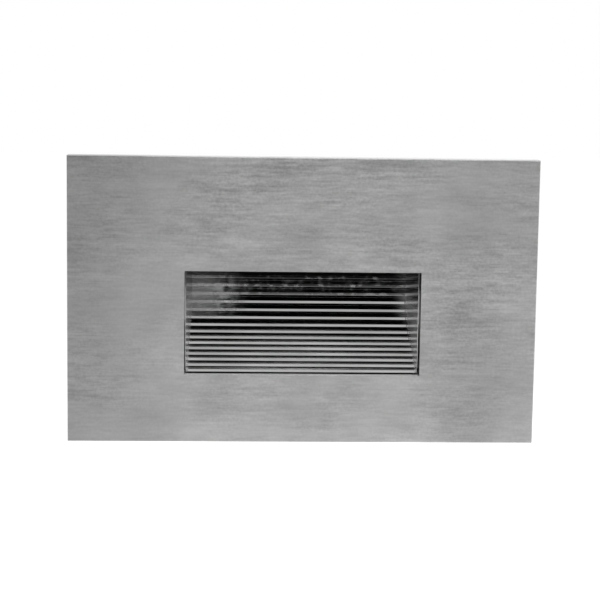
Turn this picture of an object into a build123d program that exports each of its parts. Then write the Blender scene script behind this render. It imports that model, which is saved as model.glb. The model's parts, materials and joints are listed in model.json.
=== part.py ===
from build123d import *
import os
from math import cos, radians, sin, tan

# A recessed accent light for an outdoor wall box. The wall is the plane y = 0, the light goes in along +Y,
# its face looks along -Y, +Z is up, and the origin is the centre of the gasket's seat on the wall.

os.makedirs("parts", exist_ok=True)

# Face plate and its window
plate_w = 114.3
plate_h = 69.85
plate_face = 2.0
plate_rim = 2.4
plate_edge_r = 0.35
window_w = 57.5
window_h = 25.4
window_drop = 5.5
pry_notch_w = 12.0
pry_notch_deep = 1.2
pin_r = 1.5
pin_l = 2.2
pin_inset = 4.5
pin_rise = 13.0
pin_gap = 0.08

# Wall gasket and mounting flange, with slots for the two screws of a single-gang box
gasket_t = 1.5
gasket_inset = 1.0
gasket_hole_gap = 0.5
flange_t = 2.5
flange_gap = 0.4
flange_corner_r = 2.0
slot_spacing = 83.3
slot_l = 7.0
slot_w = 4.4
magnet_w = 6.0
magnet_t = 2.0
magnet_gap = 0.05
magnet_inset = 7.0

# Ribbed scoop behind the window
nose_gap = 0.3
side_reveal = 0.25
low_reveal = 0.25
brow_reveal = 0.4
lip_setback = 1.0
lip_side = 0.8
lip_low = 1.5
cheek_draft = 4.2
cheek_t = 1.6
rib_pitch = 2.12
rib_land = 0.78
groove_deep = 1.2
ramp_angle = 30.5
ramp_l = 12.0
sweep_r = 15.9
scoop_wall = 1.5
scoop_head = 28.45
light_slot_deep = 9.0
light_slot_y = 8.0

# Light engine above the scoop, as a stack from the scoop's roof up to the housing
lens_gasket_t = 0.8
lens_t = 2.0
lens_lap = 2.0
lens_corner_r = 1.0
lens_side_gap = 0.4
lens_frame_t = 2.1
led_board_t = 1.6
thermal_pad_t = 0.5
led_size = 3.0
led_t = 0.9
led_pitch = 6.0
board_screw_inset = 4.7
board_tail = 3.5
board_tail_w = 12.0
board_notch = 4.0

# Housing tub, fins and screw bosses
wall_t = 2.4
roof_t = 3.0
roof_skin = 0.8
front_wall_t = 2.3
side_room = 0.6
floor_room = 0.72
fit_gap = 0.3
tub_corner_r = 3.0
boss_w = 6.0
boss_l = 13.0
fin_h = 2.5
fin_t = 1.2
fin_pitch = 4.2
fin_start = 3.0
fin_stop = 1.0

# Driver, rear cover and gland
driver_gap = 1.0
tallest_part = 9.5
driver_side_gap = 1.0
driver_h = 34.0
driver_t = 1.6
driver_top_room = 0.7
driver_edge = 3.5
terminal_room = 8.7
rear_gasket_t = 1.0
rear_cover_t = 2.5
post_r = 2.6
gland_x = 11.0
gland_z = -4.0
cable_r = 3.2
gland_bore_r = 3.6
gland_neck_r = 6.0
gland_hex = 15.0
gland_hex_t = 3.0
gland_inner_l = 4.5
gland_outer_r = 5.5
gland_outer_l = 5.0
gland_wall = 1.5
cap_slope = 1.0
seal_l = 4.5
seal_wall = 1.1
seal_proud = 1.0
locknut_t = 2.5
thread_gap = 0.05

# Screws: shank radius, head radius, head height, and how much wider a hole is
screw_r = 1.45
screw_head_r = 2.7
screw_head_h = 1.7
low_head_h = 0.9
small_screw_r = 1.0
small_head_r = 1.9
small_head_h = 1.2
thread_fit = 0.05
screw_bite = 8.0
screw_end_gap = 1.0

# Places along Y, from the plate's face to the back of the cover
flange_back = -gasket_t
flange_front = flange_back - flange_t
plate_back = flange_front
plate_front = plate_back - plate_face
nose_y = plate_back + nose_gap
lip_front = nose_y + lip_setback
lip_t = flange_back - lip_front
front_wall_back = flange_back + front_wall_t

# The line that the rib noses follow, in the YZ plane: a straight ramp, an arc, then straight up
window_low = -window_drop - window_h / 2
window_high = window_low + window_h
ramp_low = window_low + low_reveal
brow_z = window_high + brow_reveal
ceiling_z = ramp_low + scoop_head
climb = radians(ramp_angle)
ramp_end_y = nose_y + ramp_l * cos(climb)
ramp_end_z = ramp_low + ramp_l * sin(climb)
arc_centre_y = ramp_end_y - sweep_r * sin(climb)
arc_centre_z = ramp_end_z + sweep_r * cos(climb)
arc_l = sweep_r * (radians(90) - climb)
back_y = arc_centre_y + sweep_r


def nose_at(s):
    """The foot of a rib's nose, as (y, z), at the distance s along the line of the ribs."""
    if s <= ramp_l:
        return nose_y + s * cos(climb), ramp_low + s * sin(climb)
    if s <= ramp_l + arc_l:
        turn = climb + (s - ramp_l) / sweep_r
        return arc_centre_y + sweep_r * sin(turn), arc_centre_z - sweep_r * cos(turn)
    return back_y, arc_centre_z + (s - ramp_l - arc_l)


line_l = ramp_l + arc_l + ceiling_z - arc_centre_z
rib_count = int((line_l - rib_land) / rib_pitch) + 1
noses = [nose_at(i * rib_pitch) for i in range(rib_count)]

# Widths and heights that follow from the plate and the scoop
pocket_w = plate_w - 2 * plate_rim
pocket_h = plate_h - 2 * plate_rim
flange_w = pocket_w - 2 * flange_gap
flange_h = pocket_h - 2 * flange_gap
cavity_half = window_w / 2 - side_reveal
scoop_half = cavity_half + cheek_t
shell_off = groove_deep + scoop_wall
scoop_low = ramp_low - shell_off * cos(climb)
scoop_high = ceiling_z + scoop_wall
scoop_back = back_y + shell_off
lens_low = scoop_high + lens_gasket_t
lens_high = lens_low + lens_t
led_board_low = lens_high + lens_frame_t
led_board_high = led_board_low + led_board_t
tub_top = led_board_high + thermal_pad_t
tub_low = scoop_low - floor_room
tub_half = scoop_half + side_room
tub_out_half = tub_half + wall_t
tub_out_low = tub_low - wall_t
tub_out_high = tub_top + roof_t
tub_mid_z = (tub_out_low + tub_out_high) / 2
tub_out_h = tub_out_high - tub_out_low
driver_front = scoop_back + driver_gap + tallest_part
driver_back = driver_front + driver_t
cover_inner = driver_back + terminal_room
cover_outer = cover_inner + rear_cover_t
tub_rear = cover_inner - rear_gasket_t
boss_x = tub_half - boss_w / 2
boss_high = tub_top - boss_w / 2
boss_low = tub_low + boss_w / 2
lip_high = boss_high + screw_head_r + fit_gap
lens_w = 2 * (boss_x - boss_w / 2 - lens_side_gap)
light_slot_w = lens_w - 2 * lens_lap
board_screw_x = lens_w / 2 - board_screw_inset
led_count = int(2 * (board_screw_x - small_head_r - fit_gap - led_size / 2) / led_pitch) + 1
board_screws_at = [(-board_screw_x, light_slot_y), (board_screw_x, light_slot_y)]
driver_w = 2 * (boss_x - boss_w / 2 - driver_side_gap)
pin_spacing = flange_w - 2 * pin_inset
magnet_spacing_x = flange_w - 2 * magnet_inset
magnet_spacing_z = flange_h - 2 * magnet_inset
lens_deep = light_slot_deep + 2 * lens_lap
driver_z = tub_top - driver_top_room - driver_h / 2
pins = [(side * pin_spacing / 2, pin_rise) for side in (-1, 1)]
corners = [(side * boss_x, z) for side in (-1, 1) for z in (boss_low, boss_high)]
top_corners = [(-boss_x, boss_high), (boss_x, boss_high)]
post_x = driver_w / 2 - driver_edge
post_z = driver_h / 2 - driver_edge
posts = [(-post_x, driver_z + post_z), (post_x, driver_z - post_z)]


def wall_plane(y):
    """A plane parallel to the wall at depth y: its x is +X, its y is +Z, and it extrudes to the front."""
    return Plane.XZ.offset(-y)


def save(piece, name):
    """Labels a finished piece and writes its file."""
    piece.part.label = name
    export_step(piece.part, f"parts/{name}.step")


# Face plate: a flat face with a window and a rim that reaches back to the gasket
with BuildPart() as face_plate:
    with BuildSketch(wall_plane(flange_back)):
        Rectangle(plate_w, plate_h)
    extrude(amount=flange_back - plate_front)
    with BuildSketch(wall_plane(flange_back)):
        Rectangle(pocket_w, pocket_h)
    extrude(amount=flange_t, mode=Mode.SUBTRACT)
    with BuildSketch(wall_plane(plate_back)):
        with Locations((0, -window_drop)):
            Rectangle(window_w, window_h)
    extrude(amount=plate_face, mode=Mode.SUBTRACT)
    with BuildSketch(wall_plane(flange_back)):
        with Locations((0, -plate_h / 2)):
            Rectangle(pry_notch_w, 2 * plate_rim)
    extrude(amount=pry_notch_deep, mode=Mode.SUBTRACT)
    front_face = face_plate.faces().sort_by(Axis.Y)[0]
    fillet(front_face.outer_wire().edges(), plate_edge_r)
save(face_plate, "face_plate")

# Locating pins: two weld studs on the back of the plate that drop into holes in the flange. They stand above
# the middle, so that the plate goes on only one way up.
with BuildPart() as locating_pins:
    with BuildSketch(wall_plane(plate_back)):
        with Locations(*pins):
            Circle(pin_r)
    extrude(amount=-pin_l)
save(locating_pins, "locating_pins")

# Wall gasket: a foam frame under the flange and the rim of the plate
with BuildPart() as wall_gasket:
    with BuildSketch(wall_plane(0)):
        Rectangle(plate_w - 2 * gasket_inset, plate_h - 2 * gasket_inset)
        with Locations((0, tub_mid_z + fin_h / 2)):
            tub_hole_w = 2 * (tub_out_half + gasket_hole_gap)
            tub_hole_h = tub_out_h + fin_h + 2 * gasket_hole_gap
            Rectangle(tub_hole_w, tub_hole_h, mode=Mode.SUBTRACT)
        with GridLocations(slot_spacing, 0, 2, 1):
            SlotOverall(slot_l + 2 * gasket_hole_gap, slot_w + 2 * gasket_hole_gap, mode=Mode.SUBTRACT)
    extrude(amount=gasket_t)
save(wall_gasket, "wall_gasket")

# Housing: a cast tub, open at the back, behind a flange that carries the scoop and takes the box screws
with BuildPart() as housing:
    with BuildSketch(wall_plane(flange_back)):
        RectangleRounded(flange_w, flange_h, flange_corner_r)
    extrude(amount=flange_t)
    with BuildSketch(wall_plane(tub_rear)):
        with Locations((0, tub_mid_z)):
            RectangleRounded(2 * tub_out_half, tub_out_h, tub_corner_r)
    extrude(amount=tub_rear - flange_back)
    with BuildSketch(wall_plane(tub_rear)):
        with Locations((0, (tub_low + tub_top) / 2)):
            Rectangle(2 * tub_half, tub_top - tub_low)
    extrude(amount=tub_rear - front_wall_back, mode=Mode.SUBTRACT)
    # Square screw bosses in the corners: two behind the front wall, four at the rear
    with BuildSketch(wall_plane(front_wall_back + screw_bite)):
        with Locations(*top_corners):
            Rectangle(boss_w, boss_w)
    extrude(amount=screw_bite + front_wall_t / 2)
    with BuildSketch(wall_plane(tub_rear)):
        with Locations(*corners):
            Rectangle(boss_w, boss_w)
    extrude(amount=boss_l)
    # Cooling fins along the roof
    with BuildSketch(Plane.XY.offset(tub_out_high - roof_t / 2)):
        with Locations((0, (fin_start + tub_rear - fin_stop) / 2)):
            with GridLocations(fin_pitch, 0, int(2 * (tub_out_half - tub_corner_r) / fin_pitch) + 1, 1):
                Rectangle(fin_t, tub_rear - fin_stop - fin_start)
    extrude(amount=fin_h + roof_t / 2)
    # Seat for the scoop's lip, and the opening for its body
    with BuildSketch(wall_plane(flange_back)):
        lip_low_z = scoop_low - lip_low
        with Locations((0, (lip_low_z + lip_high) / 2)):
            Rectangle(2 * (scoop_half + lip_side + fit_gap), lip_high - lip_low_z + 2 * fit_gap)
    extrude(amount=flange_t, mode=Mode.SUBTRACT)
    with BuildSketch(wall_plane(front_wall_back)):
        with Locations((0, (scoop_low + scoop_high) / 2)):
            Rectangle(2 * (scoop_half + fit_gap), scoop_high - scoop_low + 2 * fit_gap)
    extrude(amount=front_wall_t, mode=Mode.SUBTRACT)
    # Slots, pin holes, magnet pockets and tapped holes
    with BuildSketch(wall_plane(flange_back)):
        with GridLocations(slot_spacing, 0, 2, 1):
            SlotOverall(slot_l, slot_w)
        with Locations(*pins):
            Circle(pin_r + pin_gap)
    extrude(amount=flange_t, mode=Mode.SUBTRACT)
    with BuildSketch(wall_plane(flange_front + magnet_t)):
        with GridLocations(magnet_spacing_x, magnet_spacing_z, 2, 2):
            Rectangle(magnet_w + 2 * magnet_gap, magnet_w + 2 * magnet_gap)
    extrude(amount=magnet_t, mode=Mode.SUBTRACT)
    with BuildSketch(wall_plane(flange_back + screw_bite)):
        with Locations(*top_corners):
            Circle(screw_r + thread_fit)
    extrude(amount=screw_bite, mode=Mode.SUBTRACT)
    with BuildSketch(wall_plane(tub_rear)):
        with Locations(*corners):
            Circle(screw_r + thread_fit)
    extrude(amount=screw_bite, mode=Mode.SUBTRACT)
    with BuildSketch(Plane.XY.offset(tub_top)):
        with Locations(*board_screws_at):
            Circle(small_screw_r + thread_fit)
    extrude(amount=roof_t - roof_skin, mode=Mode.SUBTRACT)
save(housing, "housing")

# Plate magnets: four blocks bonded into the flange, flush with its face
with BuildPart() as plate_magnets:
    with BuildSketch(wall_plane(flange_front + magnet_t)):
        with GridLocations(magnet_spacing_x, magnet_spacing_z, 2, 2):
            Rectangle(magnet_w, magnet_w)
    extrude(amount=magnet_t)
save(plate_magnets, "plate_magnets")

# The space in front of the ribs: the ribbed side view, cut to the plan view of the drafted cheeks
with BuildPart() as scoop_cavity:
    with BuildSketch(Plane.YZ):
        with BuildLine():
            outline = []
            for (y, z), (next_y, next_z) in zip(noses, noses[1:]):
                nose_top = z + rib_land
                root_z = (nose_top + next_z) / 2
                outline += [(y, nose_top), (next_y + groove_deep, root_z), (next_y, next_z)]
            outline += [(back_y, ceiling_z), (front_wall_back, ceiling_z)]
            outline += [(flange_back, brow_z), (nose_y, brow_z)]
            Polyline(*outline, close=True)
        make_face()
    extrude(amount=cavity_half, both=True)
    with BuildSketch(Plane.XY.offset(scoop_low)):
        deep_half = cavity_half - (scoop_back - lip_front) * tan(radians(cheek_draft))
        with BuildLine():
            Polyline((-cavity_half, nose_y), (-cavity_half, lip_front), (-deep_half, scoop_back),
                     (deep_half, scoop_back), (cavity_half, lip_front), (cavity_half, nose_y), close=True)
        make_face()
    extrude(amount=scoop_high - scoop_low, mode=Mode.INTERSECT)

# Scoop reflector: a cast shell with a screw lip, its floor and back ribbed, its cheeks drafted
with BuildPart() as scoop_reflector:
    with BuildSketch(Plane.YZ):
        with BuildLine():
            off_y = shell_off * sin(climb)
            off_z = shell_off * cos(climb)
            foot = (nose_y + off_y, ramp_low - off_z)
            bend = (ramp_end_y + off_y, ramp_end_z - off_z)
            heel = (scoop_back, arc_centre_z)
            turn = climb + (radians(90) - climb) / 2
            outer_r = sweep_r + shell_off
            mid = (arc_centre_y + outer_r * sin(turn), arc_centre_z - outer_r * cos(turn))
            Polyline((lip_front, scoop_low), foot, bend)
            ThreePointArc(bend, mid, heel)
            Polyline(heel, (scoop_back, scoop_high), (front_wall_back - scoop_wall, scoop_high),
                     (lip_front, brow_z + scoop_wall), (lip_front, scoop_low))
        make_face()
    extrude(amount=scoop_half, both=True)
    with BuildSketch(Plane.XY.offset(scoop_low)):
        back_half = scoop_half - (scoop_back - lip_front) * tan(radians(cheek_draft))
        with BuildLine():
            Polyline((-scoop_half, lip_front), (-back_half, scoop_back), (back_half, scoop_back),
                     (scoop_half, lip_front), close=True)
        make_face()
    extrude(amount=scoop_high - scoop_low, mode=Mode.INTERSECT)
    # Screw lip, with the first rib standing proud of it
    with BuildSketch(wall_plane(flange_back)):
        with Locations((0, (lip_low_z + lip_high) / 2)):
            Rectangle(2 * (scoop_half + lip_side), lip_high - lip_low_z)
    extrude(amount=lip_t)
    with BuildSketch(wall_plane(lip_front)):
        with Locations((0, ramp_low + rib_land / 2)):
            Rectangle(2 * cavity_half, rib_land)
    extrude(amount=lip_setback)
    add(scoop_cavity.part, mode=Mode.SUBTRACT)
    with BuildSketch(wall_plane(flange_back)):
        with Locations(*top_corners):
            Circle(screw_r + fit_gap)
    extrude(amount=lip_t, mode=Mode.SUBTRACT)
    with BuildSketch(Plane.XY.offset(ceiling_z)):
        with Locations((0, light_slot_y)):
            Rectangle(light_slot_w, light_slot_deep)
    extrude(amount=scoop_wall, mode=Mode.SUBTRACT)
save(scoop_reflector, "scoop_reflector")

# Scoop screws: low heads that stay behind the plate
with BuildPart() as scoop_screws:
    with BuildSketch(wall_plane(lip_front)):
        with Locations(*top_corners):
            Circle(screw_head_r)
    extrude(amount=low_head_h)
    with BuildSketch(wall_plane(lip_front)):
        with Locations(*top_corners):
            Circle(screw_r)
    extrude(amount=-(lip_t + screw_bite - screw_end_gap))
save(scoop_screws, "scoop_screws")

# Lens gasket: a thin frame on the scoop's roof, round the light slot
with BuildPart() as lens_gasket:
    with BuildSketch(Plane.XY.offset(scoop_high)):
        with Locations((0, light_slot_y)):
            Rectangle(lens_w, lens_deep)
            Rectangle(light_slot_w, light_slot_deep, mode=Mode.SUBTRACT)
    extrude(amount=lens_gasket_t)
save(lens_gasket, "lens_gasket")

# Light lens: a frosted strip over the light slot, rounded at its long edges
with BuildPart() as light_lens:
    with BuildSketch(Plane.XY.offset(lens_low)):
        with Locations((0, light_slot_y)):
            RectangleRounded(lens_w, lens_deep, lens_corner_r)
    extrude(amount=lens_t)
save(light_lens, "light_lens")

# Lens frame: a white moulded frame that holds the lens down and rings the LEDs
with BuildPart() as lens_frame:
    with BuildSketch(Plane.XY.offset(lens_high)):
        with Locations((0, light_slot_y)):
            RectangleRounded(lens_w, lens_deep, lens_corner_r)
            Rectangle(light_slot_w, light_slot_deep, mode=Mode.SUBTRACT)
    extrude(amount=lens_frame_t)
save(lens_frame, "lens_frame")

# LED board: a metal-core strip with two slots for its screws and a tail at the back for its leads
with BuildPart() as led_board:
    with BuildSketch(Plane.XY.offset(led_board_low)):
        with Locations((0, light_slot_y)):
            Rectangle(lens_w, lens_deep)
        with Locations((0, light_slot_y + (lens_deep + board_tail) / 2)):
            Rectangle(board_tail_w, board_tail)
        with Locations(*board_screws_at):
            Rectangle(2 * (small_screw_r + thread_fit), board_notch, mode=Mode.SUBTRACT)
    extrude(amount=led_board_t)
save(led_board, "led_board")

# LED emitters: square packages in one row under the board
with BuildPart() as led_emitters:
    with BuildSketch(Plane.XY.offset(led_board_low)):
        with Locations((0, light_slot_y)):
            with GridLocations(led_pitch, 0, led_count, 1):
                Rectangle(led_size, led_size)
    extrude(amount=-led_t)
save(led_emitters, "led_emitters")

# LED board screws: hexagon heads under the board, shanks up into the roof of the tub
with BuildPart() as led_board_screws:
    with BuildSketch(Plane.XY.offset(led_board_low)):
        with Locations(*board_screws_at):
            RegularPolygon(small_head_r, 6)
    extrude(amount=-small_head_h)
    with BuildSketch(Plane.XY.offset(led_board_low)):
        with Locations(*board_screws_at):
            Circle(small_screw_r)
    extrude(amount=led_board_t + thermal_pad_t + roof_t - roof_skin - fit_gap)
save(led_board_screws, "led_board_screws")

# Thermal pad: a soft grey sheet between the board and the roof, between the two screws
with BuildPart() as thermal_pad:
    with BuildSketch(Plane.XY.offset(led_board_high)):
        with Locations((0, light_slot_y)):
            Rectangle(2 * (board_screw_x - small_head_r), lens_deep)
    extrude(amount=thermal_pad_t)
save(thermal_pad, "thermal_pad")

# LED leads: a flat twin lead from the tail of the LED board round to the driver board
lead_w = 3.2
lead_t = 1.0
lead_bend = 2.5
lead_start_y = light_slot_y + lens_deep / 2 + board_tail / 2
lead_low_z = scoop_high + lead_t / 2 + fit_gap
with BuildPart() as led_leads:
    with BuildLine(Plane.YZ) as lead_path:
        FilletPolyline((lead_start_y, led_board_low), (lead_start_y, lead_low_z), (driver_front, lead_low_z),
                       radius=lead_bend)
    with BuildSketch(Plane.XY.offset(led_board_low)):
        with Locations((0, lead_start_y)):
            Rectangle(lead_w, lead_t)
    sweep(path=lead_path.wire())
save(led_leads, "led_leads")

# Driver board: stands on posts of the rear cover, parts facing the scoop
with BuildPart() as driver_board:
    with BuildSketch(wall_plane(driver_back)):
        with Locations((0, driver_z)):
            Rectangle(driver_w, driver_h)
        with Locations(*posts):
            Circle(small_screw_r + thread_fit, mode=Mode.SUBTRACT)
    extrude(amount=driver_t)
save(driver_board, "driver_board")

# Driver screws: two hexagon heads on the front of the board, in opposite corners
with BuildPart() as driver_screws:
    with BuildSketch(wall_plane(driver_front)):
        with Locations(*posts):
            RegularPolygon(small_head_r, 6)
    extrude(amount=small_head_h)
    with BuildSketch(wall_plane(driver_front)):
        with Locations(*posts):
            Circle(small_screw_r)
    extrude(amount=-(driver_t + terminal_room / 2))
save(driver_screws, "driver_screws")

# Transformer: a three-legged ferrite core with its coil round the middle leg
core_w = 15.0
core_h = 13.0
core_t = 4.5
core_leg = 3.0
transformer_edge = 13.7
transformer_x = transformer_edge - driver_w / 2
transformer_rise = 3.0
transformer_z = driver_z + transformer_rise
coil_t = 8.5
coil_gap = 0.15
coil_corner_r = 1.5
window_x = (core_w - 3 * core_leg) / 2
core_mid_y = driver_front - coil_t / 2
with BuildPart() as transformer_core:
    with BuildSketch(wall_plane(core_mid_y + core_t / 2)):
        with Locations((transformer_x, transformer_z)):
            Rectangle(core_w, core_h)
            with GridLocations(window_x + core_leg, 0, 2, 1):
                Rectangle(window_x, core_h - 2 * core_leg, mode=Mode.SUBTRACT)
    extrude(amount=core_t)
save(transformer_core, "transformer_core")

with BuildPart() as transformer_coil:
    with BuildSketch(Plane.XY.offset(transformer_z - core_h / 2 + core_leg + coil_gap)):
        with Locations((transformer_x, core_mid_y)):
            RectangleRounded(core_leg + 2 * (window_x - coil_gap), coil_t, coil_corner_r)
            Rectangle(core_leg + 2 * coil_gap, core_t + 2 * coil_gap, mode=Mode.SUBTRACT)
    extrude(amount=core_h - 2 * core_leg - 2 * coil_gap)
save(transformer_coil, "transformer_coil")

# Smoothing capacitor: a sleeved can that stands on the board
can_r = 4.0
can_edge = 12.7
can_x = driver_w / 2 - can_edge
can_rise = 4.0
can_z = driver_z + can_rise
with BuildPart() as smoothing_capacitor:
    with BuildSketch(wall_plane(driver_front)):
        with Locations((can_x, can_z)):
            Circle(can_r)
    extrude(amount=tallest_part)
save(smoothing_capacitor, "smoothing_capacitor")

# Bridge rectifier: a flat moulded block with bevelled top edges
bridge_w = 6.5
bridge_h = 5.0
bridge_t = 2.4
bridge_bevel = 0.4
bridge_x = -1.0
small_part_drop = 11.0
small_part_z = driver_z - small_part_drop
with BuildPart() as bridge_rectifier:
    with BuildSketch(wall_plane(driver_front)):
        with Locations((bridge_x, small_part_z)):
            Rectangle(bridge_w, bridge_h)
    extrude(amount=bridge_t)
    chamfer(bridge_rectifier.faces().sort_by(Axis.Y)[0].edges(), bridge_bevel)
save(bridge_rectifier, "bridge_rectifier")

# Driver chip: eight feet on the board and a flat body on them
chip_edge = 7.7
chip_x = chip_edge - driver_w / 2
chip_w = 5.0
chip_h = 4.0
chip_t = 1.3
foot_t = 0.3
foot_w = 0.5
foot_l = 1.2
foot_pitch = 1.27
foot_span = chip_h + foot_l
with BuildPart() as driver_chip:
    with BuildSketch(wall_plane(driver_front)):
        with Locations((chip_x, small_part_z)):
            Rectangle(chip_w, chip_h)
            with GridLocations(foot_pitch, foot_span, 4, 2):
                Rectangle(foot_w, foot_l)
    extrude(amount=foot_t)
    with BuildSketch(wall_plane(driver_front - foot_t)):
        with Locations((chip_x, small_part_z)):
            Rectangle(chip_w, chip_h)
    extrude(amount=chip_t)
save(driver_chip, "driver_chip")

# Varistor: a dipped disc that stands on edge
varistor_r = 3.6
varistor_t = 3.0
varistor_x = 2.5
varistor_rise = 3.0
varistor_z = driver_z + varistor_rise
with BuildPart() as varistor:
    with BuildSketch(Plane.YZ.offset(varistor_x)):
        with Locations((driver_front - varistor_r, varistor_z)):
            Circle(varistor_r)
        with Locations((driver_front - varistor_r / 2, varistor_z)):
            Rectangle(varistor_r, varistor_r)
    extrude(amount=varistor_t / 2, both=True)
save(varistor, "varistor")

# Terminal block: three clamps on the back of the driver board, for the supply wires
pole_pitch = 5.0
poles = 3
block_h = 7.0
block_t = 6.5
block_x = -8.0
block_drop = 4.0
block_z = driver_z - block_drop
clamp_r = 1.6
well_w = 3.5
wire_way_w = 2.8
wire_way_t = 2.2
screw_sink = 0.4
with BuildPart() as terminal_block:
    with BuildSketch(wall_plane(driver_back + block_t)):
        with Locations((block_x, block_z)):
            Rectangle(poles * pole_pitch, block_h)
    extrude(amount=block_t)
    with BuildSketch(wall_plane(driver_back + block_t)):
        with Locations((block_x, block_z)):
            with GridLocations(pole_pitch, 0, poles, 1):
                Rectangle(well_w, well_w)
    extrude(amount=block_t / 2, mode=Mode.SUBTRACT)
    with BuildSketch(Plane.XY.offset(block_z - block_h / 2)):
        with Locations((block_x, driver_back + block_t / 4)):
            with GridLocations(pole_pitch, 0, poles, 1):
                Rectangle(wire_way_w, wire_way_t)
    extrude(amount=block_h / 2, mode=Mode.SUBTRACT)
save(terminal_block, "terminal_block")

with BuildPart() as terminal_screws:
    with BuildSketch(wall_plane(driver_back + block_t - screw_sink)):
        with Locations((block_x, block_z)):
            with GridLocations(pole_pitch, 0, poles, 1):
                Circle(clamp_r)
    extrude(amount=block_t / 2 - screw_sink)
save(terminal_screws, "terminal_screws")

# Rear gasket: a frame on the rim of the tub, outside its screws
with BuildPart() as rear_gasket:
    with BuildSketch(wall_plane(cover_inner)):
        with Locations((0, tub_mid_z)):
            RectangleRounded(2 * tub_out_half, tub_out_h, tub_corner_r)
        with Locations((0, (tub_low + tub_top) / 2)):
            Rectangle(2 * tub_half, tub_top - tub_low, mode=Mode.SUBTRACT)
    extrude(amount=rear_gasket_t)
save(rear_gasket, "rear_gasket")

# Rear cover: a cast lid with the posts of the driver board and a flat pad for the gland
cover_rib_t = 1.5
cover_rib_h = 1.2
cover_rib_pitch = 8.0
cover_rib_count = 6
pad_margin = 3.0
pad_r = gland_hex / 2 + pad_margin
ground_x = -18.0
ground_z = boss_low + 0.5
ground_bite = 1.5
with BuildPart() as rear_cover:
    with BuildSketch(wall_plane(cover_outer)):
        with Locations((0, tub_mid_z)):
            RectangleRounded(2 * tub_out_half, tub_out_h, tub_corner_r)
    extrude(amount=rear_cover_t)
    with BuildSketch(wall_plane(cover_inner)):
        with Locations(*posts):
            Circle(post_r)
    extrude(amount=terminal_room)
    with BuildSketch(wall_plane(cover_outer)):
        with Locations((0, tub_mid_z)):
            with GridLocations(cover_rib_pitch, 0, cover_rib_count, 1):
                Rectangle(cover_rib_t, tub_out_h - 2 * (wall_t + boss_w + cover_rib_t))
        with Locations((gland_x, gland_z)):
            Circle(pad_r, mode=Mode.SUBTRACT)
    extrude(amount=-cover_rib_h)
    with BuildSketch(wall_plane(cover_outer)):
        with Locations(*corners):
            Circle(screw_r + fit_gap)
        with Locations((gland_x, gland_z)):
            Circle(gland_neck_r + thread_gap)
    extrude(amount=rear_cover_t, mode=Mode.SUBTRACT)
    with BuildSketch(wall_plane(driver_back)):
        with Locations(*posts):
            Circle(small_screw_r + thread_fit)
    extrude(amount=-(terminal_room / 2 + fit_gap), mode=Mode.SUBTRACT)
    with BuildSketch(wall_plane(cover_outer)):
        with Locations((ground_x, ground_z)):
            Circle(screw_r + thread_fit)
    extrude(amount=ground_bite + fit_gap, mode=Mode.SUBTRACT)
save(rear_cover, "rear_cover")

# Rear cover screws: four hexagon heads in the corners
with BuildPart() as rear_cover_screws:
    with BuildSketch(wall_plane(cover_outer)):
        with Locations(*corners):
            RegularPolygon(screw_head_r, 6)
    extrude(amount=-screw_head_h)
    with BuildSketch(wall_plane(cover_outer)):
        with Locations(*corners):
            Circle(screw_r)
    extrude(amount=rear_cover_t + rear_gasket_t + screw_bite - screw_end_gap)
save(rear_cover_screws, "rear_cover_screws")

# Ground washer: a star washer that bites into the casting, under the ground screw
washer_t = 0.8
washer_r = 3.6
with BuildPart() as ground_washer:
    with BuildSketch(wall_plane(cover_outer + washer_t)):
        with Locations((ground_x, ground_z)):
            RegularPolygon(washer_r, 12)
            Circle(screw_r + pin_gap, mode=Mode.SUBTRACT)
    extrude(amount=washer_t)
save(ground_washer, "ground_washer")

# Ground screw: a hexagon head on the outside of the cover
with BuildPart() as ground_screw:
    with BuildSketch(wall_plane(cover_outer + washer_t)):
        with Locations((ground_x, ground_z)):
            RegularPolygon(screw_head_r, 6)
    extrude(amount=-screw_head_h)
    with BuildSketch(wall_plane(cover_outer + washer_t)):
        with Locations((ground_x, ground_z)):
            Circle(screw_r)
    extrude(amount=washer_t + ground_bite)
save(ground_screw, "ground_screw")

# Cable gland body: a hexagon outside the cover, a neck through it and a shorter neck for the cap
neck_end = cover_outer + gland_hex_t + gland_outer_l
seal_start = neck_end + seal_proud - seal_l
with BuildPart() as gland_body:
    with BuildSketch(wall_plane(cover_outer + gland_hex_t)):
        with Locations((gland_x, gland_z)):
            RegularPolygon(gland_hex / 2, 6, major_radius=False)
    extrude(amount=gland_hex_t)
    with BuildSketch(wall_plane(cover_outer)):
        with Locations((gland_x, gland_z)):
            Circle(gland_neck_r)
    extrude(amount=rear_cover_t + gland_inner_l)
    with BuildSketch(wall_plane(neck_end)):
        with Locations((gland_x, gland_z)):
            Circle(gland_outer_r)
    extrude(amount=gland_outer_l)
    with BuildSketch(wall_plane(neck_end)):
        with Locations((gland_x, gland_z)):
            Circle(gland_bore_r)
    extrude(amount=neck_end - cover_inner + gland_inner_l, mode=Mode.SUBTRACT)
    with BuildSketch(wall_plane(neck_end)):
        with Locations((gland_x, gland_z)):
            Circle(cable_r + seal_wall + thread_gap)
    extrude(amount=seal_l - seal_proud, mode=Mode.SUBTRACT)
save(gland_body, "gland_body")

# Gland seal: the rubber sleeve that grips the supply cable
with BuildPart() as gland_seal:
    with BuildSketch(wall_plane(seal_start + seal_l)):
        with Locations((gland_x, gland_z)):
            Circle(cable_r + seal_wall)
            Circle(cable_r, mode=Mode.SUBTRACT)
    extrude(amount=seal_l)
save(gland_seal, "gland_seal")

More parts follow.
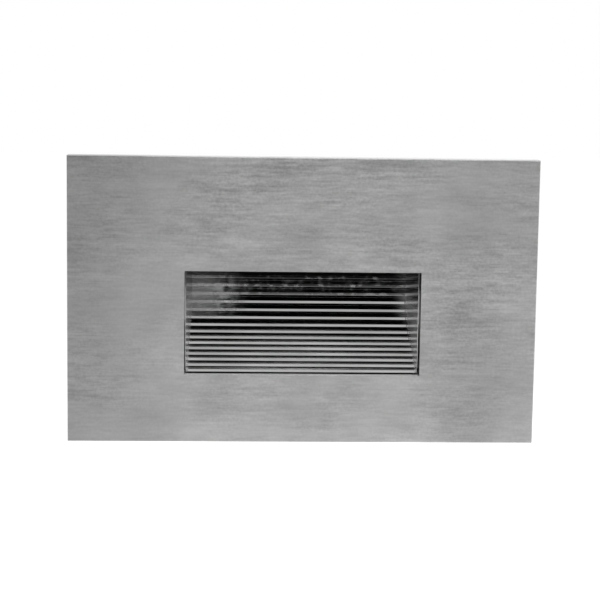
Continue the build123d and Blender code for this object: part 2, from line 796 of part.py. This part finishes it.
# Gland cap: a hexagon nut with a rounded end that presses on the seal
cap_r = gland_outer_r + thread_gap + gland_wall
cap_start = cover_outer + gland_hex_t + fit_gap
cap_seat = neck_end + seal_proud
cap_end = cap_seat + gland_wall
with BuildPart() as gland_cap:
    with BuildSketch(wall_plane(cap_end)):
        with Locations((gland_x, gland_z)):
            RegularPolygon(cap_r, 6, major_radius=False)
    extrude(amount=cap_end - cap_start)
    with BuildSketch(Plane.XY.offset(gland_z)):
        with BuildLine():
            collar_r = cap_r - gland_wall / 2
            Polyline((gland_x, cap_end), (gland_x + collar_r, cap_end),
                     (gland_x + collar_r - cap_slope, cap_end + gland_wall), (gland_x, cap_end + gland_wall),
                     close=True)
        make_face()
    revolve(axis=Axis((gland_x, 0, gland_z), (0, 1, 0)))
    with BuildSketch(wall_plane(cap_end + gland_wall)):
        with Locations((gland_x, gland_z)):
            Circle(gland_bore_r)
    extrude(amount=2 * gland_wall, mode=Mode.SUBTRACT)
    with BuildSketch(wall_plane(cap_seat)):
        with Locations((gland_x, gland_z)):
            Circle(gland_outer_r + thread_gap)
    extrude(amount=cap_seat - cap_start, mode=Mode.SUBTRACT)
save(gland_cap, "gland_cap")

# Gland locknut: clamps the gland from inside the cover
with BuildPart() as gland_locknut:
    with BuildSketch(wall_plane(cover_inner)):
        with Locations((gland_x, gland_z)):
            RegularPolygon(gland_hex / 2, 6, major_radius=False)
            Circle(gland_neck_r + thread_gap, mode=Mode.SUBTRACT)
    extrude(amount=locknut_t)
save(gland_locknut, "gland_locknut")
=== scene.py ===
import json
import math

import bmesh
import bpy
from mathutils import Matrix, Vector

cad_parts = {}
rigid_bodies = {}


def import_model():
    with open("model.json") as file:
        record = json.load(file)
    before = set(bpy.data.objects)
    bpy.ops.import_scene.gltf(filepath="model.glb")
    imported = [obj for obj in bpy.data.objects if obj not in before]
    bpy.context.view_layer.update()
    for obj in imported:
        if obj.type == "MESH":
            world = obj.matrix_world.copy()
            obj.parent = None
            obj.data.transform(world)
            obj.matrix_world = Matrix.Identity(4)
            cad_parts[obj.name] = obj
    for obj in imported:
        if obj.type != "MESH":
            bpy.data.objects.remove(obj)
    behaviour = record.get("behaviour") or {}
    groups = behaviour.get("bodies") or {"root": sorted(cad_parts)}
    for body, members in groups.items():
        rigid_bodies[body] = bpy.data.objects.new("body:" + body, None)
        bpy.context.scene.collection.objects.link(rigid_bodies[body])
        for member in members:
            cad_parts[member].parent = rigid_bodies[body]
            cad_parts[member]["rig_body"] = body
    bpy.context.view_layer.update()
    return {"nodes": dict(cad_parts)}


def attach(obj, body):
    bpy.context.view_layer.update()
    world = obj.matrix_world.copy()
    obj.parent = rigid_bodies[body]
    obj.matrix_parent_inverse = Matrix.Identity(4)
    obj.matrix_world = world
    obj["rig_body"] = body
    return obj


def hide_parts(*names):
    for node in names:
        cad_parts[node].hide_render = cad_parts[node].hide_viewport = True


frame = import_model()

# Face plate
# Stainless steel, with a face of 2 mm, a rim that reaches back to the gasket, and a sharp punched window. It
# was brushed along its length on a belt, which leaves long fine lines that spread its reflections up and
# down. Magnets behind it hold it, so it has no screws.

MM = 0.001


class Socket:
    """An output of a shader node. Sums and products of sockets and numbers add Math nodes."""

    def __init__(self, nodes, output):
        self.nodes = nodes
        self.output = output

    def math(self, operation, *values):
        return self.nodes.node("ShaderNodeMath", *values, settings={"operation": operation})

    def __add__(self, other):
        return self.math("ADD", self, other)

    __radd__ = __add__

    def __sub__(self, other):
        return self.math("SUBTRACT", self, other)

    def __rsub__(self, other):
        return self.math("SUBTRACT", other, self)

    def __mul__(self, other):
        return self.math("MULTIPLY", self, other)

    __rmul__ = __mul__

    def __truediv__(self, other):
        return self.math("DIVIDE", self, other)

    def __rtruediv__(self, other):
        return self.math("DIVIDE", other, self)

    def __abs__(self):
        return self.math("ABSOLUTE", self)

    def at_least(self, other):
        return self.math("MAXIMUM", self, other)

    def step(self, start, end):
        """0 at start, 1 at end, smooth between them and level beyond. start may be the larger of the two."""
        settings = {"interpolation_type": "SMOOTHSTEP", "clamp": True}
        return self.nodes.node("ShaderNodeMapRange", self, start, end, settings=settings)


class Nodes:
    """A node tree, and the one method that adds nodes to it."""

    def __init__(self, tree):
        self.tree = tree

    def node(self, kind, *values, settings=None, sockets=None, output=0, **named):
        """Adds a node: its settings first, then its sockets' values or links, in order, by number or name."""
        made = self.tree.nodes.new(kind)
        for key, value in (settings or {}).items():
            setattr(made, key, value)
        fed = {**dict(enumerate(values)), **(sockets or {})}
        fed.update({key.replace("_", " "): value for key, value in named.items()})
        for key, value in fed.items():
            self.feed(made.inputs[key], value)
        return Socket(self, made.outputs[output]) if made.outputs else None

    def feed(self, socket, value):
        if isinstance(value, Socket):
            self.tree.links.new(value.output, socket)
        else:
            socket.default_value = value

    def blend(self, factor, first, second):
        """One colour to another, by a factor from 0 to 1. A Mix node's colours are its sockets 6 and 7."""
        sockets = {0: factor, 6: first, 7: second}
        return self.node("ShaderNodeMix", settings={"data_type": "RGBA"}, sockets=sockets, output=2)


class Finish(Nodes):
    """A material with one main shader, and the patterns that vary over its surface."""

    def __init__(self, name, **constants):
        self.material = bpy.data.materials.new(name)
        self.material.use_nodes = True
        super().__init__(self.material.node_tree)
        self.shader = self.tree.nodes["Principled BSDF"]
        for socket, value in constants.items():
            self.feed(self.shader.inputs[socket.replace("_", " ")], value)

    def axis(self, name):
        """One coordinate of the point on the surface, in metres."""
        point = self.node("ShaderNodeTexCoord", output="Object")
        return self.node("ShaderNodeSeparateXYZ", point, output=name)

    def facing(self, name):
        """How far the surface faces along an axis, from -1 to 1."""
        normal = self.node("ShaderNodeNewGeometry", output="Normal")
        return self.node("ShaderNodeSeparateXYZ", normal, output=name)

    def place(self, *scale):
        """The point on the surface, in metres along each axis, times a scale in features per metre."""
        point = self.node("ShaderNodeTexCoord", output="Object")
        return self.node("ShaderNodeVectorMath", point, scale, settings={"operation": "MULTIPLY"})

    def noise(self, *scale, detail=4.0, rough=0.55):
        """Soft random values round 0.5, with so many features per metre along X, Y and Z."""
        place = self.place(*scale)
        return self.node("ShaderNodeTexNoise", place, Scale=1.0, Detail=detail, Roughness=rough)

    def surface(self, colour, roughness, height=None, depth=0.0, metallic=None):
        """Feeds the main shader. height is a pattern from 0 to 1 that stands depth metres deep."""
        self.feed(self.shader.inputs["Base Color"], colour)
        self.feed(self.shader.inputs["Roughness"], roughness)
        if metallic is not None:
            self.feed(self.shader.inputs["Metallic"], metallic)
        if height is not None:
            bump = self.node("ShaderNodeBump", Strength=1.0, Distance=depth, Height=height)
            self.feed(self.shader.inputs["Normal"], bump)
        return self.material


def grey(level, warm=0.0):
    """A neutral colour of that linear level, a little redder where warm is above 0 and bluer below."""
    return (level * (1 + warm), level, level * (1 - warm), 1.0)


def brushed_steel():
    """Stainless steel brushed along X: short fine lines, broader bands, a faint speckle and soft clouds."""
    finish = Finish("brushed_steel", Metallic=1.0, Anisotropic=0.65, Anisotropic_Rotation=0.25)
    across = finish.axis("X")
    rise = finish.axis("Z")
    off_centre = abs(across)

    lines = finish.noise(90, 2600, 2600, detail=3.0, rough=0.75)
    dashes = finish.noise(280, 1400, 1400, detail=2.0)
    bands = finish.noise(24, 620, 620, detail=3.0)
    speckle = finish.noise(1500, 1500, 1500, detail=2.0)
    weights = 2.1
    brushing = (0.45 * lines + 0.7 * dashes + 0.4 * bands + 0.55 * speckle) / weights - 0.5

    # The belt bit harder in patches, above the window and to the right of it.
    patches = finish.noise(35, 70, 70, detail=2.0).step(0.38, 0.62)
    above_window = off_centre.step(40 * MM, 10 * MM) * rise.step(4 * MM, 12 * MM)
    right_of_window = across.step(26 * MM, 36 * MM) * abs(rise).step(24 * MM, 10 * MM)
    strength = 0.36 + 0.40 * patches + 0.35 * above_window + 0.30 * right_of_window
    clouds = finish.noise(60, 60, 90, detail=3.0)
    tone = 0.5 + strength * brushing + 0.25 * (clouds - 0.5)
    darkest_line = grey(0.335)
    lightest_line = grey(0.625)
    brushed = finish.blend(tone.step(0.30, 0.72), darkest_line, lightest_line)

    # Painted shade, where less light falls: the plate is darker towards its left edge, more so low down, and
    # a little darker right of the window, more so in a band low down. It is also darker in one small spot by
    # the window.
    low = rise.step(-5 * MM, -35 * MM)
    painted_shade_left = across.step(-28 * MM, -60 * MM) * (0.20 + 0.08 * low)
    painted_shade_band = low * across.step(53 * MM, 43 * MM)
    painted_shade_right = across.step(28 * MM, 38 * MM) * (0.07 + 0.15 * painted_shade_band)
    spot_width = across.step(33 * MM, 38 * MM) * across.step(47 * MM, 41 * MM)
    spot_height = rise.step(3 * MM, -2 * MM) * rise.step(-14 * MM, -6 * MM)
    painted_shade_and_spot = painted_shade_left + painted_shade_right + 0.13 * (spot_width * spot_height)
    shade_and_spot_grey = grey(0.10)
    face = finish.blend(painted_shade_and_spot, brushed, shade_and_spot_grey)

    # The cut edges of the window aren't brushed. Painted shade makes its sides dark, and a painted highlight
    # makes its sill light; the sill is also diffuse.
    inside = off_centre.step(31 * MM, 30 * MM)
    shaded_window_side = abs(finish.facing("X")).step(0.4, 0.8) * inside
    lit_window_sill = finish.facing("Z").step(0.4, 0.8) * inside * rise.step(0.0, -5 * MM)
    side_shade_grey = grey(0.06)
    sill_highlight_grey = grey(0.85)
    colour = finish.blend(shaded_window_side, face, side_shade_grey)
    colour = finish.blend(lit_window_sill, colour, sill_highlight_grey)
    roughness = 0.34 + 0.14 * lines
    return finish.surface(colour, roughness, height=lines, depth=0.004 * MM, metallic=1 - 0.8 * lit_window_sill)


def dress(node, material, ease, flatten=True, clamp=True):
    """A copy of a CAD piece in its material, its edges eased by so many metres. It takes the piece's place.

    flatten joins the facets that lie in one plane, and clamp keeps the eased edges of a narrow face apart.
    """
    source = frame["nodes"][node]
    mesh = source.data.copy()
    mesh.materials.clear()
    work = bmesh.new()
    work.from_mesh(mesh)
    bmesh.ops.remove_doubles(work, verts=work.verts, dist=0.001 * MM)
    if flatten:
        one_plane = math.radians(0.5)
        bmesh.ops.dissolve_limit(work, angle_limit=one_plane, verts=work.verts, edges=work.edges)
    work.to_mesh(mesh)
    work.free()
    for name in ("custom_normal", "sharp_face"):
        if name in mesh.attributes:
            mesh.attributes.remove(mesh.attributes[name])
    sharp = math.radians(30)
    mesh.shade_smooth()
    mesh.set_sharp_from_angle(angle=sharp)
    piece = bpy.data.objects.new(node + "_dressed", mesh)
    bpy.context.scene.collection.objects.link(piece)
    bevel = piece.modifiers.new("eased edges", "BEVEL")
    bevel.width = ease
    bevel.segments = 2
    bevel.limit_method = "ANGLE"
    bevel.angle_limit = sharp
    bevel.use_clamp_overlap = clamp
    bevel.harden_normals = True
    graph = bpy.context.evaluated_depsgraph_get()
    piece.data = bpy.data.meshes.new_from_object(piece.evaluated_get(graph))
    piece.modifiers.clear()
    piece.data.materials.clear()
    piece.data.materials.append(material)
    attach(piece, source["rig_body"])
    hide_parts(node)


dress("face_plate", brushed_steel(), ease=0.10 * MM)

# Locating pins
# Two plain steel studs, welded to the back of the plate by their ends. They drop into holes in the flange
# and stand above its middle, so that the plate goes on only one way up.


def plain_steel(name="plain_steel", level=0.45):
    """Bright bare or plated steel, faintly mottled."""
    finish = Finish(name, Metallic=1.0)
    mottle = finish.noise(900, 900, 900)
    colour = finish.blend(mottle, grey(0.8 * level, 0.02), grey(1.1 * level, -0.01))
    return finish.surface(colour, 0.24 + 0.2 * mottle, height=mottle, depth=0.006 * MM)


steel = plain_steel()
dress("locating_pins", steel, ease=0.2 * MM)

# Wall gasket
# A black frame cut from closed-cell foam sheet, 1.5 mm thick. Its skin is smooth and its cut edge shows
# small pores. It lies between the wall and the flange, and the screws of the wall box squeeze it.


def foam():
    finish = Finish("foam", Specular_IOR_Level=0.2)
    pores = finish.node("ShaderNodeTexVoronoi", finish.place(2600, 2600, 2600), Scale=1.0)
    tone = finish.noise(300, 300, 300)
    colour = finish.blend(tone, grey(0.018), grey(0.035))
    return finish.surface(colour, 0.8 + 0.15 * tone, height=pores.step(0.0, 0.5), depth=0.06 * MM)


dress("wall_gasket", foam(), ease=0.12 * MM)

# Housing
# A tub and flange die-cast in one piece from aluminium, then tumbled, so that its edges are soft and its
# skin is an even, fine-grained grey. The cooling fins and the flange are part of the casting.


def cast_aluminium():
    """Tumbled die-cast aluminium: fine grain, broad clouds where the metal flowed, no shine."""
    finish = Finish("cast_aluminium", Metallic=0.85)
    grain = finish.noise(2600, 2600, 2600, detail=5.0)
    flow = finish.noise(60, 60, 60, detail=3.0)
    skin = (0.6 * flow + 0.4 * grain).step(0.3, 0.7)
    colour = finish.blend(skin, grey(0.36, -0.01), grey(0.50, -0.01))
    return finish.surface(colour, 0.42 + 0.22 * grain, height=grain, depth=0.03 * MM)


casting = cast_aluminium()
dress("housing", casting, ease=0.10 * MM, clamp=False)

# Plate magnets
# Four nickel plated blocks, bonded into pockets of the flange and flush with its face. They hold the plate
# by its steel face and shine more than the cast metal round them.

nickel = plain_steel("nickel", level=0.62)
dress("plate_magnets", nickel, ease=0.3 * MM)

# Scoop reflector
# Die-cast from aluminium with its ribs, then polished by hand. The noses of the ribs are bright, painted
# shade darkens the grooves and the upper ribs, painted light makes light matt patches, and the smooth cheeks
# mirror the ribs. Two screws hold its lip to the flange.


def polished_aluminium():
    """Polished aluminium, hazy on its cheeks. Painted shade darkens its grooves, the faces that look down and
    its upper ribs, and painted light makes light matt patches, the largest high up on the left.
    """
    finish = Finish("polished_aluminium", Metallic=1.0)
    across = finish.axis("X")
    height = finish.axis("Z")
    off_centre = abs(across)
    upright = finish.facing("Z")
    cheek = abs(finish.facing("X")).step(0.5, 0.8)
    groove = abs(upright).step(0.05, 0.3)

    # Painted light: a light, matt patch high up on the left, and fainter ones over the upper ribs.
    patch_noise = finish.noise(420, 420, 520, detail=6.0, rough=0.7)
    covered = patch_noise.step(0.35, 0.60).at_least(0.8 * across.step(-18 * MM, -23 * MM))
    fading_up = 0.15 + 0.85 * height.step(5.5 * MM, -0.5 * MM)
    patch = across.step(-12 * MM, -20 * MM) * height.step(-7.8 * MM, -4.2 * MM) * fading_up
    upper_ribs = height.step(-2 * MM, 0.5 * MM) * height.step(4.5 * MM, 3 * MM)
    upper_painted_light = 0.35 * patch_noise.step(0.50, 0.62) * upper_ribs

    # More painted light, in the same light matt layer: in the ends of the grooves, stronger below the line of
    # shade, along the front of the cheeks and low down on them. Lower down the groove ends that hold it are
    # shorter, and shortest on the left.
    lower = height.step(-5 * MM, -9 * MM)
    shorter = (3 * MM + 2 * MM * across.step(-10 * MM, -14 * MM)) * lower
    groove_end = (off_centre - shorter).step(23 * MM, 27.5 * MM)
    lit_groove_ends = groove_end * groove * (0.25 + 0.45 * height.step(1 * MM, -2 * MM))
    rim = 0.7 * off_centre.step(27.4 * MM, 28.3 * MM) * height.step(4 * MM, 0.0)
    lit_low_cheek = 0.55 * (cheek * height.step(1 * MM, -3 * MM))
    painted_light = (covered * patch).at_least(upper_painted_light).at_least(lit_groove_ends).at_least(rim)
    painted_light = (painted_light * (1 - cheek)).at_least(lit_low_cheek)

    # The bare metal, in painted shade: streaked noses that darken near the top, grooves that are dark,
    # lighter in the middle low down and darker as they climb, faces that look down nearly black high up, and
    # cheeks darker above the line of shade.
    streaks = finish.noise(60, 500, 500)
    nose = finish.blend(streaks.step(0.3, 0.7), grey(0.33), grey(0.44))
    nose = finish.blend(height.step(2.2 * MM, 3.6 * MM), nose, grey(0.12))
    low_groove = finish.blend(off_centre.step(2 * MM, 18 * MM), grey(0.46), grey(0.30))
    groove_shade = finish.blend(height.step(-5 * MM, -10 * MM), grey(0.12), low_groove)
    shaded_underside = upright.step(-0.02, -0.2) * height.step(-5 * MM, -2 * MM)
    groove_shade = finish.blend(shaded_underside, groove_shade, grey(0.03))
    cheek_shade = finish.blend(height.step(1 * MM, -3 * MM), grey(0.50), grey(0.92))
    shaded_metal = finish.blend(groove, nose, groove_shade)
    shaded_metal = finish.blend(cheek, shaded_metal, cheek_shade)

    # The colour of the painted light: light grey, lighter still in the grooves and on the cheeks.
    painted_light_grey = finish.blend(groove.at_least(cheek), grey(0.58), grey(0.95))
    colour = finish.blend(painted_light, shaded_metal, painted_light_grey)
    cloud = finish.noise(140, 140, 140, detail=5.0)
    haze = painted_light.at_least(0.6 * cheek).at_least(0.06 * cloud.step(0.5, 0.75))
    roughness = 0.02 + (0.35 * haze).at_least(0.3 * groove)
    return finish.surface(colour, roughness, metallic=1 - 0.8 * painted_light)


dress("scoop_reflector", polished_aluminium(), ease=0.12 * MM, flatten=False, clamp=False)

# Scoop screws
# Two plain steel screws with low heads, through the lip of the scoop into the flange. The plate lies over
# them and hides them.

dress("scoop_screws", steel, ease=0.15 * MM)

# Light lens with its gasket and frame
# A frosted acrylic strip lies on a rubber gasket on the scoop's roof, over the light slot. A white moulded
# frame holds it down and rings the LEDs.


def frosted_acrylic():
    finish = Finish("frosted_acrylic", Transmission_Weight=0.6, IOR=1.49)
    frost = finish.noise(4000, 4000, 4000)
    colour = finish.blend(frost, grey(0.80, -0.02), grey(0.90, -0.02))
    return finish.surface(colour, 0.45 + 0.2 * frost, height=frost, depth=0.01 * MM)


def moulded(name, colour, spread=0.15, roughness=0.5):
    """A moulded or dipped surface with a fine texture. spread is how far its colour varies, as a share."""
    finish = Finish(name)
    texture = finish.noise(3200, 3200, 3200, detail=3.0)
    darker = tuple(c * (1 - spread) for c in colour) + (1.0,)
    lighter = tuple(min(1.0, c * (1 + spread)) for c in colour) + (1.0,)
    shade = finish.blend(texture, darker, lighter)
    return finish.surface(shade, roughness + 0.15 * texture, height=texture, depth=0.012 * MM)


rubber = moulded("seal_rubber", (0.020, 0.020, 0.021), roughness=0.65)
white_moulding = moulded("white_moulding", (0.78, 0.78, 0.76), spread=0.04)
dress("light_lens", frosted_acrylic(), ease=0.2 * MM)
dress("lens_gasket", rubber, ease=0.1 * MM)
dress("lens_frame", white_moulding, ease=0.2 * MM)

# LED board
# A metal-core board with a white mask and six yellow phosphor packages in a row. Two screws pull it up
# against the roof of the tub, with a soft grey thermal pad between. A flat red twin lead runs back to the
# driver.

white_mask = moulded("white_mask", (0.80, 0.80, 0.78), spread=0.03, roughness=0.3)
phosphor = moulded("phosphor", (0.80, 0.62, 0.12), spread=0.1, roughness=0.25)
soft_pad = moulded("thermal_pad", (0.30, 0.36, 0.42), spread=0.1, roughness=0.7)
lead_sleeve = moulded("lead_sleeve", (0.42, 0.05, 0.04), spread=0.1, roughness=0.4)
dress("led_board", white_mask, ease=0.08 * MM)
dress("led_emitters", phosphor, ease=0.15 * MM)
dress("led_board_screws", steel, ease=0.2 * MM)
dress("thermal_pad", soft_pad, ease=0.1 * MM)
dress("led_leads", lead_sleeve, ease=0.25 * MM)

# Driver
# A green board, screwed to posts of the rear cover, with its parts soldered on: a ferrite transformer wound
# in yellow tape, a sleeved capacitor, a rectifier and a chip in black, and a blue dipped varistor. On its
# back is a green terminal block with steel clamp screws.

green_mask = moulded("green_mask", (0.03, 0.16, 0.06), spread=0.15, roughness=0.3)
ferrite = moulded("ferrite", (0.05, 0.05, 0.055), spread=0.3, roughness=0.5)
coil_tape = moulded("coil_tape", (0.62, 0.42, 0.05), spread=0.12, roughness=0.25)
can_sleeve = moulded("can_sleeve", (0.03, 0.04, 0.09), spread=0.2, roughness=0.25)
black_moulding = moulded("black_moulding", (0.025, 0.025, 0.026), spread=0.2, roughness=0.45)
blue_dip = moulded("varistor_dip", (0.05, 0.13, 0.38), spread=0.1, roughness=0.2)
terminal_green = moulded("terminal_green", (0.05, 0.25, 0.09), spread=0.1, roughness=0.4)
dress("driver_board", green_mask, ease=0.08 * MM)
dress("driver_screws", steel, ease=0.2 * MM)
dress("transformer_core", ferrite, ease=0.2 * MM)
dress("transformer_coil", coil_tape, ease=0.3 * MM)
dress("smoothing_capacitor", can_sleeve, ease=0.4 * MM)
dress("bridge_rectifier", black_moulding, ease=0.1 * MM)
dress("driver_chip", black_moulding, ease=0.1 * MM)
dress("varistor", blue_dip, ease=0.2 * MM)
dress("terminal_block", terminal_green, ease=0.25 * MM)
dress("terminal_screws", steel, ease=0.15 * MM)

# Rear cover
# A lid cast from the same metal as the tub, with ribs and a flat pad for the gland. It lies on a rubber
# gasket and is held by four hexagon-headed steel screws in its corners.

dress("rear_gasket", rubber, ease=0.15 * MM)
dress("rear_cover", casting, ease=0.10 * MM, clamp=False)
dress("rear_cover_screws", steel, ease=0.2 * MM)

# Cable gland
# Black nylon: a hexagon body through the cover, a cap with a rounded end outside and a locknut inside. The
# cap presses on a rubber sleeve, which grips the supply cable.

nylon = moulded("nylon", (0.022, 0.022, 0.023), spread=0.2, roughness=0.42)
dress("gland_body", nylon, ease=0.3 * MM)
dress("gland_cap", nylon, ease=0.3 * MM)
dress("gland_locknut", nylon, ease=0.3 * MM)
dress("gland_seal", rubber, ease=0.2 * MM)

# Ground screw and washer
# A green plated screw with a hexagon head, on the outside of the rear cover. A brass star washer under it
# bites into the casting.


def tinted_metal(name, darker, lighter, metallic, roughness):
    """A metal or plating whose colour and polish vary a little."""
    finish = Finish(name, Metallic=metallic)
    mottle = finish.noise(900, 900, 900)
    colour = finish.blend(mottle, darker + (1.0,), lighter + (1.0,))
    return finish.surface(colour, roughness + 0.2 * mottle, height=mottle, depth=0.01 * MM)


brass = tinted_metal("brass", (0.50, 0.34, 0.10), (0.72, 0.54, 0.22), metallic=1.0, roughness=0.28)
plating = tinted_metal("green_plating", (0.03, 0.20, 0.06), (0.06, 0.34, 0.10), metallic=0.8, roughness=0.3)
dress("ground_washer", brass, ease=0.1 * MM)
dress("ground_screw", plating, ease=0.2 * MM)

# Floor
# A plain sheet of white paper, 12 m square, so far under the light that only a faint shadow reaches it. It
# glows a little where the camera, metal or glass sees it, so that there it is as white as the room.


def flat_sheet(name, corners, material):
    """One face of the studio, from its four corners in order."""
    mesh = bpy.data.meshes.new(name)
    mesh.from_pydata(corners, [], [(0, 1, 2, 3)])
    mesh.materials.append(material)
    sheet = bpy.data.objects.new(name, mesh)
    bpy.context.scene.collection.objects.link(sheet)
    return sheet


def seen_rays(nodes):
    """1 for rays from the camera, from metal and through glass, and 0 for light on the object."""
    seen = nodes.node("ShaderNodeLightPath", output="Is Camera Ray")
    for path in ("Is Glossy Ray", "Is Transmission Ray"):
        seen = seen.at_least(nodes.node("ShaderNodeLightPath", output=path))
    return seen


floor_drop = 0.317
floor_half = 6.0
floor_corners = [(-floor_half, -floor_half, -floor_drop), (floor_half, -floor_half, -floor_drop),
                 (floor_half, floor_half, -floor_drop), (-floor_half, floor_half, -floor_drop)]
paper = Finish("floor_paper", Roughness=0.9, Specular_IOR_Level=0.1, Base_Color=grey(0.92),
               Emission_Strength=1.0)
paper.feed(paper.shader.inputs["Emission Color"], paper.blend(seen_rays(paper), grey(0.0), grey(0.60)))
floor = flat_sheet("floor", floor_corners, paper.material)

# Flag
# A dark card, 10 m wide, behind the camera and just clear of the floor. It keeps the white room out of the
# metal's reflections. It glows faintly, and more in the 31 mm next to the floor, as painted light from the
# floor. The camera doesn't see it.

flag_y = -2.305
flag_top = 5.0
flag_low = -0.3169
flag_half = 5.0
flag_corners = [(-flag_half, flag_y, flag_low), (flag_half, flag_y, flag_low),
                (flag_half, flag_y, flag_top), (-flag_half, flag_y, flag_top)]
light_strip = 0.031
card = Finish("flag_cloth", Roughness=1.0, Specular_IOR_Level=0.0, Base_Color=grey(0.05),
              Emission_Strength=1.0)
# Painted light: the card's glow is stronger in its lowest 31 mm, next to the floor.
near_floor = card.axis("Z").step(-floor_drop + light_strip, -floor_drop)
card.feed(card.shader.inputs["Emission Color"], card.blend(near_floor, grey(0.01), grey(0.14)))
flag = flat_sheet("flag", flag_corners, card.material)
flag.visible_camera = False
flag.visible_diffuse = False
flag.visible_shadow = False

# World
# A white room. The camera, metal and glass see it at full strength, and as light on the object it is a soft,
# even grey of less than half that strength.

full_strength = 1.0
soft_strength = 0.45
world = bpy.data.worlds.new("studio")
bpy.context.scene.world = world
world.use_nodes = True
world.node_tree.nodes.clear()
room = Nodes(world.node_tree)
white = room.node("ShaderNodeBackground", Color=grey(1.0), Strength=full_strength)
soft = room.node("ShaderNodeBackground", Color=grey(1.0), Strength=soft_strength)
room.node("ShaderNodeOutputWorld", Surface=room.node("ShaderNodeMixShader", seen_rays(room), soft, white))

# Lamps
# Two square softboxes that face the light: the key in front and above, a little to the right, and a larger
# one behind and above for the housing. Places and sides are in metres, and powers in watts.


def softbox(name, position, target, side, power):
    light = bpy.data.lights.new(name, "AREA")
    light.shape = "RECTANGLE"
    light.size = side
    light.size_y = side
    light.energy = power
    lamp = bpy.data.objects.new(name, light)
    bpy.context.scene.collection.objects.link(lamp)
    lamp.location = position
    lamp.rotation_euler = (Vector(target) - Vector(position)).to_track_quat("-Z", "Y").to_euler()


key_distance = 1.2
key_rise = math.radians(50.0)
key_turn = math.radians(20.0)
key_place = (key_distance * math.cos(key_rise) * math.sin(key_turn),
             -key_distance * math.cos(key_rise) * math.cos(key_turn),
             key_distance * math.sin(key_rise))
softbox("key", key_place, target=(0, 0, 0), side=0.9, power=6.0)
softbox("fill_behind", (0.5, 1.0, 0.7), target=(0, 0.02, 0), side=1.5, power=5.0)

# Camera
# A long lens about 0.44 m from the plate, a little to the left of the light and above it. It is turned a
# little to the right and down, and leans by less than a degree.

lens_mm = 108.67
sensor_mm = 36.0
camera_place = Vector((-20.4, -441.7, 60.7)) * MM
camera_yaw = math.radians(2.584)
camera_pitch = math.radians(-7.877)
camera_roll = math.radians(0.816)
ahead = Vector((math.sin(camera_yaw) * math.cos(camera_pitch),
                math.cos(camera_yaw) * math.cos(camera_pitch),
                math.sin(camera_pitch)))
level = Vector((math.cos(camera_yaw), -math.sin(camera_yaw), 0.0))
above = level.cross(ahead)
right = math.cos(camera_roll) * level + math.sin(camera_roll) * above
up = math.cos(camera_roll) * above - math.sin(camera_roll) * level
view = bpy.data.cameras.new("camera")
view.lens = lens_mm
view.sensor_width = sensor_mm
view.clip_start = 10 * MM
camera = bpy.data.objects.new("camera", view)
bpy.context.scene.collection.objects.link(camera)
turn = Matrix((right, up, -ahead)).transposed().to_4x4()
camera.matrix_world = Matrix.Translation(camera_place) @ turn
bpy.context.scene.camera = camera
bpy.context.scene.view_settings.view_transform = "Standard"
